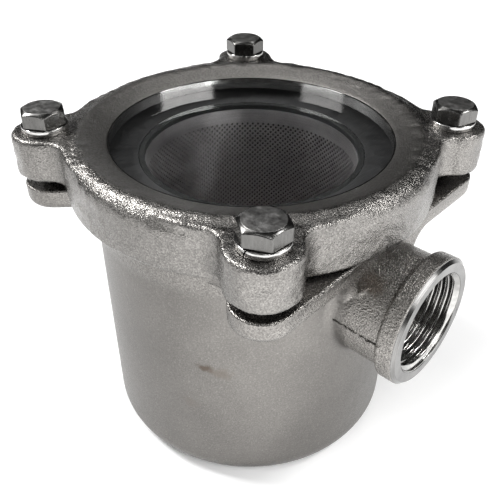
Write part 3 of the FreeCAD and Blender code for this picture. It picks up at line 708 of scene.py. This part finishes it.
def hex_bolt(name, x, y, turn, mat, z0=114.0, ztop=119.3, af=13.0):
    """Hexagon head with a coned top and broken edges, and a short plain shank; the thread is a separate sleeve."""
    segs = 144
    V, F = [], []
    half = af / 2.0
    rows = []
    rc = 5.72

    def side(t, grow=0.0):
        p = 70.0
        acc = 0.0
        for i in range(6):
            c = math.cos(t - math.pi / 3 * i)
            if c > 0:
                acc += (c / (half + grow)) ** p
        return acc ** (-1.0 / p)

    tan = math.tan(math.radians(30.0))
    for k in range(segs):
        t = 2 * math.pi * k / segs
        rs = side(t)
        ze = ztop - max(0.0, rs - rc) * tan
        lo = z0 + 0.28
        prof = [(1.0, ztop), (rc - 0.30, ztop), (rc - 0.16, ztop - 0.012), (rc - 0.02, ztop - 0.05), (rc + 0.12, min(ztop - 0.09, ztop - 0.12 * tan - 0.03))]
        e1 = max(rc + 0.13, rs - 0.20)
        prof += [(e1, ztop - (e1 - rc) * tan - 0.035), (rs - 0.10, ze - 0.04), (rs - 0.03, ze - 0.12), (rs, ze - 0.24), (rs, ze - 0.34),
                 (rs, lo + 0.30), (rs, lo + 0.20), (rs - 0.03, lo + 0.09), (rs - 0.12, lo), (6.1, lo), (6.1, z0 + 0.05), (6.05, z0), (4.0, z0), (3.98, z0 - 3.0)]
        rows.append([(a_ * math.cos(t), a_ * math.sin(t), z_) for a_, z_ in prof])
    n = len(rows[0])
    rot = math.radians(turn)
    ct, st = math.cos(rot), math.sin(rot)
    for row in rows:
        for px, py, pz in row:
            V.append(((x + px * ct - py * st) * MM, (y + px * st + py * ct) * MM, pz * MM))
    for k in range(segs):
        k2 = (k + 1) % segs
        for j in range(n - 1):
            F.append((k * n + j, k * n + j + 1, k2 * n + j + 1, k2 * n + j))
    top = len(V)
    V.append((x * MM, y * MM, ztop * MM))
    bot = len(V)
    V.append((x * MM, y * MM, (z0 - 3.0) * MM))
    T = []
    for k in range(segs):
        k2 = (k + 1) % segs
        T.append((top, k * n, k2 * n))
        T.append((bot, k2 * n + n - 1, k * n + n - 1))
    ob = mesh_from(name, V, [np.array(F, dtype=np.int32), np.array(T, dtype=np.int32)], mat, 32.0)
    bm = bmesh.new()
    bm.from_mesh(ob.data)
    bmesh.ops.recalc_face_normals(bm, faces=bm.faces)
    bm.to_mesh(ob.data)
    bm.free()
    ob.data.shade_smooth()
    ob.data.set_sharp_from_angle(angle=math.radians(32.0))
    return ob


def split_washer(name, x, y, turn, mat, z0=112.0, z1=114.0, ri=4.2, ro=7.3, gap=0.35):
    """Spring lock washer: square section with broken edges, cut on the skew."""
    b = 0.22
    prof = [(ri + b, z0), (ro - b, z0), (ro - 0.06, z0 + 0.07), (ro, z0 + b), (ro, z1 - b), (ro - 0.06, z1 - 0.07), (ro - b, z1), (ri + b, z1), (ri, z1 - b), (ri, z0 + b)]
    n = len(prof)
    segs = 110
    V, F = [], []
    for k in range(segs + 1):
        u = k / segs
        for rr_, z_ in prof:
            skew = ((z_ - 0.5 * (z0 + z1)) / 2.0) * 0.8
            g0 = (gap / 2 + skew) / 6.0
            g1 = 2 * math.pi - (gap / 2 - skew) / 6.0
            a = math.radians(turn) + g0 + (g1 - g0) * u
            V.append(((x + rr_ * math.cos(a)) * MM, (y + rr_ * math.sin(a)) * MM, z_ * MM))
    for k in range(segs):
        for j in range(n):
            j2 = (j + 1) % n
            F.append((k * n + j, (k + 1) * n + j, (k + 1) * n + j2, k * n + j2))
    bm = bmesh.new()
    vs = [bm.verts.new(v) for v in V]
    for f in F:
        bm.faces.new([vs[i] for i in f])
    bm.faces.new([vs[j] for j in range(n)])
    bm.faces.new([vs[segs * n + j] for j in reversed(range(n))])
    bmesh.ops.recalc_face_normals(bm, faces=bm.faces)
    me = bpy.data.meshes.new(name)
    bm.to_mesh(me)
    bm.free()
    me.materials.append(mat)
    me.shade_smooth()
    me.set_sharp_from_angle(angle=math.radians(50.0))
    ob = bpy.data.objects.new(name, me)
    scene.collection.objects.link(ob)
    return ob


def ridge(name, pts, nrm, width, height, mat, seed=1, step=0.28, wander=0.12, sink=0.25):
    """Uneven raised line along a path, such as the flash left by a mould joint."""
    rng = np.random.RandomState(seed)
    P = [Vector(p) for p in pts]
    N = [Vector(q).normalized() for q in nrm]
    path, norm = [], []
    for i in range(len(P) - 1):
        seg = (P[i + 1] - P[i]).length
        c = max(1, int(seg / step))
        for j in range(c):
            f = j / c
            path.append(P[i].lerp(P[i + 1], f))
            norm.append(N[i].lerp(N[i + 1], f).normalized())
    path.append(P[-1])
    norm.append(N[-1])
    n = len(path)

    def wob(k, amp, period):
        ph = rng.uniform(0, 6.28, 3)
        return [amp * (math.sin(i * step / period + ph[0]) + 0.7 * math.sin(2.3 * i * step / period + ph[1]) + 0.5 * rng.normal() * 0.6) / 1.5 for i in range(n)]

    w1, h1, l1 = wob(0, 0.35, 1.1), wob(1, 0.45, 0.9), wob(2, wander, 0.8)
    bm = bmesh.new()
    rows = []
    for i in range(n):
        t = (path[min(i + 1, n - 1)] - path[max(i - 1, 0)]).normalized()
        sd = norm[i].cross(t).normalized()
        end = min(1.0, min(i, n - 1 - i) * step / 0.8 + 0.05)
        w = width * (1 + w1[i]) * (0.4 + 0.6 * end)
        h = max(0.03, height * (1 + h1[i]) * end)
        c = path[i] + sd * l1[i]
        row = [c + sd * (w * a_) + norm[i] * b_ for a_, b_ in ((-0.5, -sink), (-0.5, 0.0), (-0.26, h * 0.8), (0.0, h), (0.28, h * 0.7), (0.5, 0.0), (0.5, -sink))]
        rows.append([bm.verts.new(v * MM) for v in row])
    for i in range(n - 1):
        for j in range(7):
            j2 = (j + 1) % 7
            bm.faces.new((rows[i][j], rows[i][j2], rows[i + 1][j2], rows[i + 1][j]))
    bm.faces.new(rows[0])
    bm.faces.new(list(reversed(rows[-1])))
    bmesh.ops.recalc_face_normals(bm, faces=bm.faces)
    me = bpy.data.meshes.new(name)
    bm.to_mesh(me)
    bm.free()
    me.materials.append(mat)
    me.shade_smooth()
    ob = bpy.data.objects.new(name, me)
    scene.collection.objects.link(ob)
    return ob


ring = add(softened("cover_ring", "ring_casting", 0.57 * MM, 10, ringm, ((0.0075, 0.00007), (0.0034, 0.000045))), "cast_ring", "cover_ring")
add(revolved("ring_bore", [(45.97, 106.24), (45.97, 109.86), (46.05, 110.0), (46.25, 110.06), (46.9, 110.02), (47.2, 109.4), (47.2, 107.2), (46.66, 107.2), (46.66, 106.24)], bore_mat, 320, 24.0), "cast_ring")
add(revolved("seal_ring", [(35.3, 98.02), (37.1, 98.02), (37.18, 98.15), (37.18, 99.72), (37.02, 99.88), (35.45, 99.88), (35.28, 99.72), (35.28, 98.15)], seal_mat, 200, 30.0), "black_rubber", "basket_seal")

BOLTS = ((1, -45.0, -33.6, -88.0), (2, 45.0, -48.0, 60.0), (3, 135.0, -20.0, 150.0), (4, -135.0, -28.8, 200.0))
for k, az_, turn, split in BOLTS:
    bx, by = 66.1 * math.cos(math.radians(az_)), 66.1 * math.sin(math.radians(az_))
    add(hex_bolt("bolt_head_%d" % k, bx, by, turn + 30.0, bolt_mat), "bolt_steel", "hex_bolt_%d" % k)
    sh = thread_sleeve("bolt_thread_%d" % k, 111.2 * MM, 89.2 * MM, 1.25 * MM, 3.35 * MM, 3.97 * MM, bolt_mat, origin=(bx * MM, by * MM, 0.0),
                       axis="Z", segs=36, per=8, inner=False, back=1.0 * MM)
    add(sh, "bolt_steel")
    add(split_washer("washer_%d" % k, bx, by, split, washer_mat), "washer_steel", "spring_washer_%d" % k)

up = add(screen_piece("screen_upper", 0, 40, Z_BAND, None, basket_mat), "mesh_steel", "basket_screen")
low = add(screen_piece("screen_lower", 40, 80, None, 8.0 * MM, basket_mat), "mesh_steel")
add(window_collar("window_collar", basket_mat), "basket_steel")
for tag, sg in (("inlet", 1.0), ("outlet", -1.0)):
    t = thread_sleeve("thread_" + tag, sg * 73.35 * MM, sg * 55.7 * MM, 2.309 * MM, 16.60 * MM, 15.15 * MM, thread_mat,
                      sign=sg, origin=(0, 0, PORT_Z), cone=(16.65 * MM, 1.0), back=16.61 * MM)
    add(t, "cast_steel")

# flash of the mould's joint along the neck, and along the web's upper edge
add(ridge("neck_flash", [(50.5, -19.0, 71.6), (55.3, -19.0, 71.3), (59.2, -19.0, 71.2), (63.2, -19.0, 70.9), (66.4, -19.3, 71.1), (68.0, -20.6, 71.2)],
          [(0, -1, 0), (0, -1, 0), (0, -1, 0), (0, -1, 0), (-0.3, -1, 0), (-0.6, -0.8, 0)], 0.75, 0.42, steel, 3), "cast_steel")
add(ridge("web_flash", [(55.95, -42.0, 93.3), (56.1, -36.0, 93.35), (56.1, -30.0, 93.3), (56.1, -24.0, 93.35), (56.1, -19.5, 93.2)],
          [(0.8, 0, 0.6)] * 5, 0.55, 0.30, steel, 5, wander=0.1), "cast_steel")

c_, s_ = 0.772, 0.635
mid = Vector((57.1, -14.6, 71.2 + 12.0))
run = Vector((0.60, 0.80 * s_, 0.80 * c_))
add(ridge("neck_nub", [mid - run * 2.1, mid, mid + run * 2.1], [(0, -c_ - 0.06, s_ - 0.07), (0, -c_, s_), (0, -c_ + 0.06, s_ + 0.07)],
          1.7, 0.36, steel, 9, step=0.22, wander=0.04, sink=0.5), "cast_steel")
add(ridge("collar_nub", [(65.5, -2.7, 90.02), (65.6, -0.2, 90.2), (65.5, 2.3, 90.06)], [(0, -0.14, 1), (0, 0, 1), (0, 0.12, 1)],
          1.3, 0.50, steel, 13, step=0.22, wander=0.04, sink=0.5), "cast_steel")
add(ridge("joint_nub", [(67.7, -21.0, 71.9), (68.2, -21.05, 73.0), (68.5, -21.0, 73.9)], [(0, -1, 0.03), (0, -1, 0.09), (0, -1, 0.12)],
          1.0, 0.45, steel, 11, step=0.2, wander=0.04, sink=0.4), "cast_steel")


# ------------------------------------------------------------- floor and light
def floor():
    bm = bmesh.new()
    s = 3.0
    v = [bm.verts.new((x * s, y * s, 0.0)) for x, y in ((-1, -1), (1, -1), (1, 1), (-1, 1))]
    bm.faces.new(v)
    me = bpy.data.meshes.new("floor")
    bm.to_mesh(me)
    bm.free()
    ob = bpy.data.objects.new("floor", me)
    scene.collection.objects.link(ob)
    mt = Mat("floor_white_glowing")
    mt.link(mt.ramp(mt.noise(40.0, 3.0, 0.6), [(0.3, 0.92), (0.7, 0.94)]), mt.b.inputs["Base Color"])
    mt.set(Roughness=0.9, Emission_Color=(1, 1, 1, 1))
    # painted light: the floor glows as well as reflecting, its emission strength rising from 0.12 to 1.38 across the
    # floor towards the inlet's side, so it lights the object unevenly
    sep = mt.node("ShaderNodeSeparateXYZ")
    mt.link(mt.pos, sep.inputs[0])
    u = mt.math("ADD", mt.math("MULTIPLY", sep.outputs[0], 0.93), mt.math("MULTIPLY", sep.outputs[1], -0.37))
    mt.link(mt.math("MULTIPLY_ADD", step_up(mt, u, 0.02, 0.16), 1.26, 0.12), mt.b.inputs["Emission Strength"])
    me.materials.append(mt.m)
    return ob


floor()


def area(name, loc, target, size, power, size_y=None, color=(1, 1, 1)):
    l = bpy.data.lights.new(name, "AREA")
    l.shape = "RECTANGLE"
    l.size = size
    l.size_y = size_y or size
    l.energy = power
    l.color = color
    ob = bpy.data.objects.new(name, l)
    scene.collection.objects.link(ob)
    ob.location = loc
    d = Vector(target) - Vector(loc)
    ob.rotation_euler = d.to_track_quat("-Z", "Y").to_euler()
    return ob


# soft boxes on a dome about the object: azimuth, elevation, width, height, radiance
BOXES = ((13, 25, 1.00, 0.30, 6.0), (247, 25, 0.80, 0.30, 3.7), (11, 6, 0.36, 0.26, 6.0),
         (96, 58, 0.30, 0.24, 6.0), (150, 60, 0.30, 0.24, 4.6), (281, 56, 0.26, 0.26, 4.0), (326, 56, 0.26, 0.26, 9.0),
         (146, 6, 0.40, 0.20, 1.2), (204, 44, 0.32, 0.28, 52.0), (40, 48, 0.20, 0.24, 40.0),
         (194, 63, 0.44, 0.36, 3.4))
for i, (az_, el_, w_, h_, rad) in enumerate(BOXES):
    a_, e_ = math.radians(az_), math.radians(el_)
    p_ = Vector((math.cos(a_) * math.cos(e_), math.sin(a_) * math.cos(e_), math.sin(e_))) * 1.2 + Vector((0, 0, 0.09))
    area("softbox_%02d" % i, tuple(p_), (0, 0, 0.09), w_, rad * math.pi * w_ * h_, h_)

w = bpy.data.worlds.new("world")
scene.world = w
w.use_nodes = True
bg = w.node_tree.nodes["Background"]
bg.inputs[0].default_value = (1, 1, 1, 1)
bg.inputs[1].default_value = 0.02
scene.view_settings.view_transform = "Standard"
